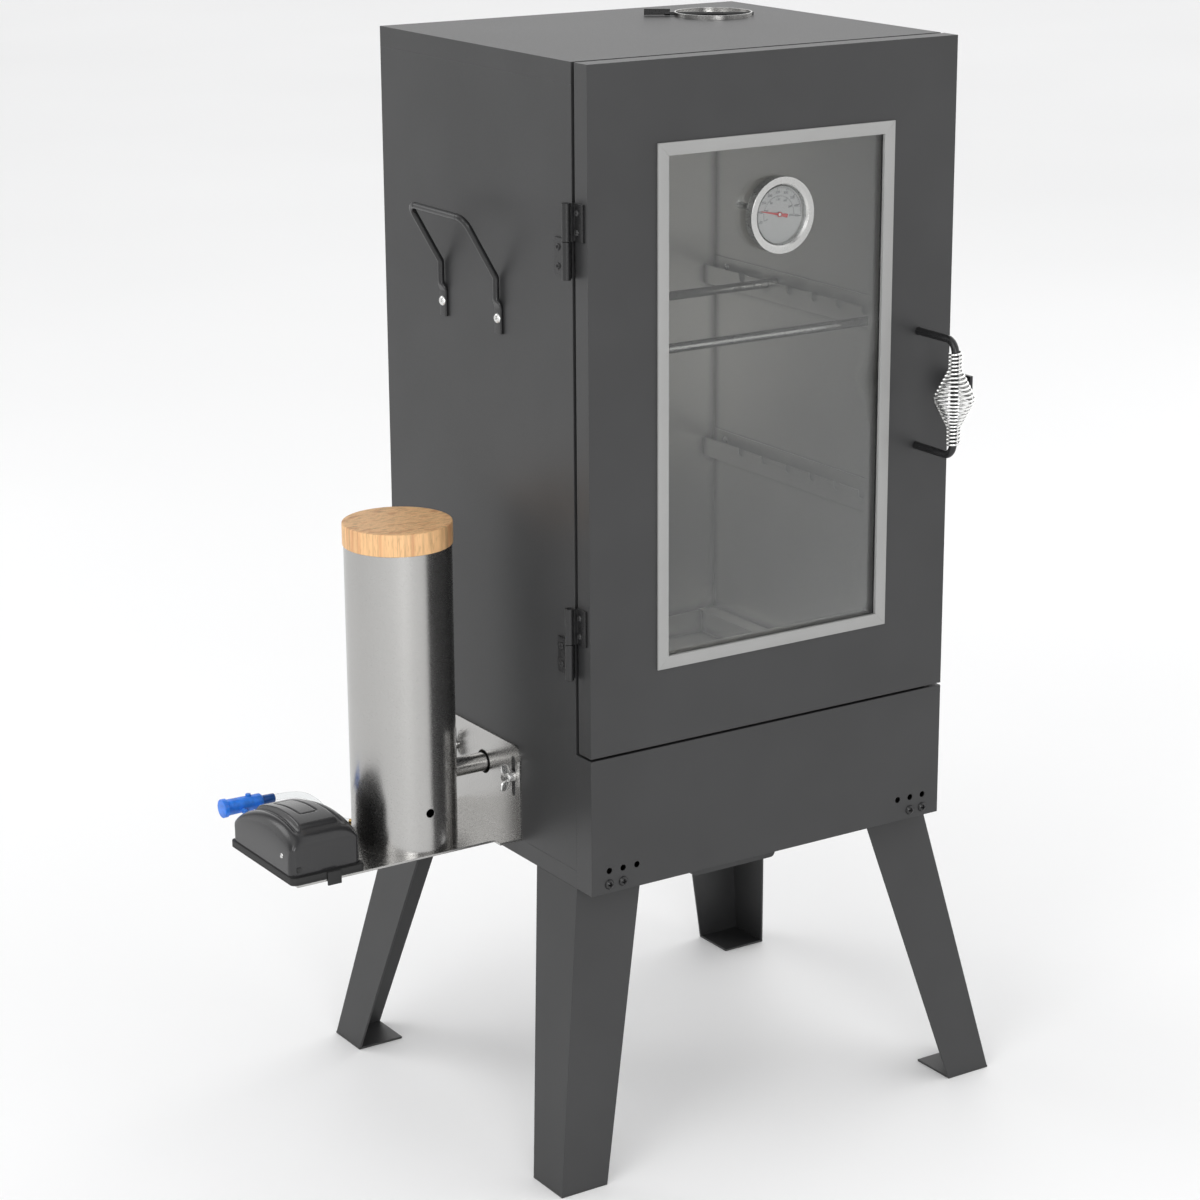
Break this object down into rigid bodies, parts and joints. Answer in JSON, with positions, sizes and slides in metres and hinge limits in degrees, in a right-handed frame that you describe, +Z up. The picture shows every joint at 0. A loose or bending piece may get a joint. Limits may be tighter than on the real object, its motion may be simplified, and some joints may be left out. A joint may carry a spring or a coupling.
{
  "type": "electric cabinet smoker",
  "caption": "Upright insulated steel smoking cabinet on splayed legs, with a glazed door, thermometer, coil-grip handle, and a side shelf with a tube smoke generator and air pump.",
  "frame": {"origin": "on the ground, in the middle of the footprint's box, which takes in the feet, the pump at the left and the door handle at the front", "axes": "+Z up, +X to the right seen from the front, +Y from the door to the back"},
  "size_m": [0.6876, 0.4846, 1.033],
  "materials": {
    "cabinet_paint": "satin powder coat, fine texture",
    "door_paint": "satin powder coat, fine texture",
    "black_steel": "semi-gloss black coat",
    "stainless": "brushed along its length",
    "liner_steel": "satin sheet",
    "trim_aluminium": "brushed extrusion",
    "window_glass": "clear tempered glass",
    "bright_zinc": "zinc plated",
    "spring_chrome": "polished wire",
    "seal_rubber": "matt silicone",
    "pump_plastic": "moulded, semi gloss",
    "blue_plastic": "translucent moulding",
    "clear_hose": "clear flexible tube",
    "lid_wood": "turned light wood, oiled",
    "mineral_wool": "loose fibre slab",
    "dial_white": "printed dial",
    "needle_red": "gloss red",
    "lens_glass": "clear flat lens",
    "gland_plastic": "moulded nylon",
    "brass": "turned"
  },
  "bodies": {
    "cabinet": {"bottom_pan": "cabinet_paint", "top_cap": "cabinet_paint", "left_outer_panel": "cabinet_paint", "right_outer_panel": "cabinet_paint", "back_panel": "cabinet_paint", "side_liners": "liner_steel", "back_liner": "liner_steel", "wall_insulation": "mineral_wool", "front_sill": "liner_steel", "plinth_panel": "cabinet_paint", "door_seal": "seal_rubber", "flue_collar": "stainless", "hanging_rails": "liner_steel", "tray_ledges": "liner_steel", "heating_element": "stainless", "heater_supports": "liner_steel", "terminal_box": "cabinet_paint", "cable_gland": "gland_plastic", "bolts": "bright_zinc", "nuts": "bright_zinc", "screws": "bright_zinc", "carry_handles": "black_steel", "front_legs": "cabinet_paint", "rear_legs": "cabinet_paint", "hinge_body_leaves": "black_steel", "latch_keeper": "bright_zinc", "generator_bracket": "stainless", "generator_tube": "stainless", "generator_base": "stainless", "chip_grate": "stainless", "smoke_pipe": "stainless", "air_nozzle": "brass", "pump_base": "seal_rubber", "pump_housing": "pump_plastic", "air_manifold": "blue_plastic", "link_hoses": "clear_hose", "air_hose": "clear_hose"},
    "door": {"door_skin": "door_paint", "door_liner": "liner_steel", "window_glass": "window_glass", "window_trim": "trim_aluminium", "handle_rod": "black_steel", "handle_grip": "spring_chrome", "door_fixings": "bright_zinc", "hinge_door_leaves": "black_steel", "latch_pivot": "bright_zinc", "thermometer_case": "stainless", "thermometer_dial": "dial_white", "thermometer_lens": "lens_glass"},
    "latch": {"latch_lever": "black_steel"},
    "needle": {"thermometer_needle": "needle_red"},
    "damper": {"damper_disc": "stainless", "damper_shaft": "black_steel"},
    "front_rod": {"front_hanging_rod": "stainless"},
    "rear_rod": {"rear_hanging_rod": "stainless"},
    "tray": {"drip_tray": "liner_steel"},
    "lid": {"wood_lid": "lid_wood"},
    "front_wing_nut": {"wing_nut_front": "bright_zinc"},
    "rear_wing_nut": {"wing_nut_rear": "bright_zinc"},
    "switch": {"pump_switch": "gland_plastic"}
  },
  "joints": [
    {"name": "door_hinge", "type": "hinge", "parent": "cabinet", "child": "door", "pos_m": [-0.11585, -0.1442, 0.8743], "axis": [0, 0, -1], "range_deg": [0, 170]},
    {"name": "latch_turn", "type": "hinge", "parent": "door", "child": "latch", "pos_m": [0.29305, -0.1567, 0.7035], "axis": [-1, 0, 0], "range_deg": [0, 14]},
    {"name": "needle_turn", "type": "hinge", "parent": "door", "child": "needle", "pos_m": [0.09175, -0.1696, 0.8816], "axis": [0, 1, 0], "range_deg": [-25, 235]},
    {"name": "damper_turn", "type": "hinge", "parent": "cabinet", "child": "damper", "pos_m": [0.20075, 0.0913, 1.0284], "axis": [-0.829, 0.5592, 0], "range_deg": [0, 90]},
    {"name": "front_rod_lift", "type": "slide", "parent": "cabinet", "child": "front_rod", "axis": [0, 0, 1], "range_m": [0, 0.09]},
    {"name": "rear_rod_lift", "type": "slide", "parent": "cabinet", "child": "rear_rod", "axis": [0, 0, 1], "range_m": [0, 0.15]},
    {"name": "tray_lift", "type": "slide", "parent": "cabinet", "child": "tray", "axis": [0, 0, 1], "range_m": [0, 0.12]},
    {"name": "lid_lift", "type": "slide", "parent": "cabinet", "child": "lid", "axis": [0, 0, 1], "range_m": [0, 0.08]},
    {"name": "front_wing_nut_turn", "type": "hinge", "parent": "cabinet", "child": "front_wing_nut", "pos_m": [-0.11025, -0.0347, 0.354], "axis": [-1, 0, 0], "continuous": true},
    {"name": "rear_wing_nut_turn", "type": "hinge", "parent": "cabinet", "child": "rear_wing_nut", "pos_m": [-0.11025, 0.0733, 0.354], "axis": [-1, 0, 0], "continuous": true},
    {"name": "switch_slide", "type": "slide", "parent": "cabinet", "child": "switch", "axis": [1, 0, 0], "range_m": [0, 0.0046]}
  ]
}
